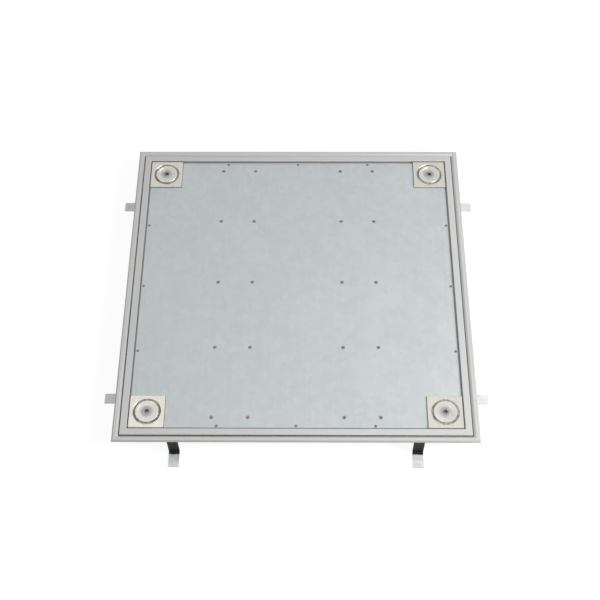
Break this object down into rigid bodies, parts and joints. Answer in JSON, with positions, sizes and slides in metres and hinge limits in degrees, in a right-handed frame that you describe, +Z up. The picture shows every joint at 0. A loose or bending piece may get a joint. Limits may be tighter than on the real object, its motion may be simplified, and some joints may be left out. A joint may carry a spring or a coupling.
{
  "type": "floor access cover",
  "caption": "Square floor access cover: a shallow galvanised tray in a mitred aluminium rim, bolted down at its corners into a sealed aluminium frame with bent anchor straps.",
  "frame": {"origin": "under the middle of the cover, on the plane of the anchor strap feet", "axes": "+Z up through the cover, +X along the front edge to the right, +Y from the front edge to the rear"},
  "size_m": [0.738, 0.738, 0.052],
  "materials": {
    "frame_aluminium": "satin mill finish",
    "rim_aluminium": "satin anodised",
    "machined_aluminium": "fine machined",
    "galvanised_sheet": "galvanised, satin",
    "galvanised_steel": "galvanised",
    "zinc_fasteners": "zinc plated",
    "black_rubber": "matt"
  },
  "bodies": {
    "root": {"anchor_rivets": "zinc_fasteners", "anchor_strap_front_high": "galvanised_steel", "anchor_strap_front_low": "galvanised_steel", "anchor_strap_left_high": "galvanised_steel", "anchor_strap_left_low": "galvanised_steel", "anchor_strap_rear_high": "galvanised_steel", "anchor_strap_rear_low": "galvanised_steel", "anchor_strap_right_high": "galvanised_steel", "anchor_strap_right_low": "galvanised_steel", "block_screws": "zinc_fasteners", "corner_block_front_left": "machined_aluminium", "corner_block_front_right": "machined_aluminium", "corner_block_rear_left": "machined_aluminium", "corner_block_rear_right": "machined_aluminium", "cover_rim_front": "rim_aluminium", "cover_rim_left": "rim_aluminium", "cover_rim_rear": "rim_aluminium", "cover_rim_right": "rim_aluminium", "edge_screws": "zinc_fasteners", "frame_corner_key_front_left": "frame_aluminium", "frame_corner_key_front_right": "frame_aluminium", "frame_corner_key_rear_left": "frame_aluminium", "frame_corner_key_rear_right": "frame_aluminium", "frame_gusset_front_left": "galvanised_steel", "frame_gusset_front_right": "galvanised_steel", "frame_gusset_rear_left": "galvanised_steel", "frame_gusset_rear_right": "galvanised_steel", "frame_rail_front": "frame_aluminium", "frame_rail_left": "frame_aluminium", "frame_rail_rear": "frame_aluminium", "frame_rail_right": "frame_aluminium", "frame_seal_front": "black_rubber", "frame_seal_left": "black_rubber", "frame_seal_rear": "black_rubber", "frame_seal_right": "black_rubber", "gusset_screws": "zinc_fasteners", "lock_bolts": "zinc_fasteners", "lock_disc_front_left": "machined_aluminium", "lock_disc_front_right": "machined_aluminium", "lock_disc_rear_left": "machined_aluminium", "lock_disc_rear_right": "machined_aluminium", "lock_nuts": "zinc_fasteners", "lock_ring_front_left": "black_rubber", "lock_ring_front_right": "black_rubber", "lock_ring_rear_left": "black_rubber", "lock_ring_rear_right": "black_rubber", "stiffener_left": "galvanised_steel", "stiffener_right": "galvanised_steel", "stiffener_screws": "zinc_fasteners", "tray_floor": "galvanised_sheet"}
  },
  "joints": []
}
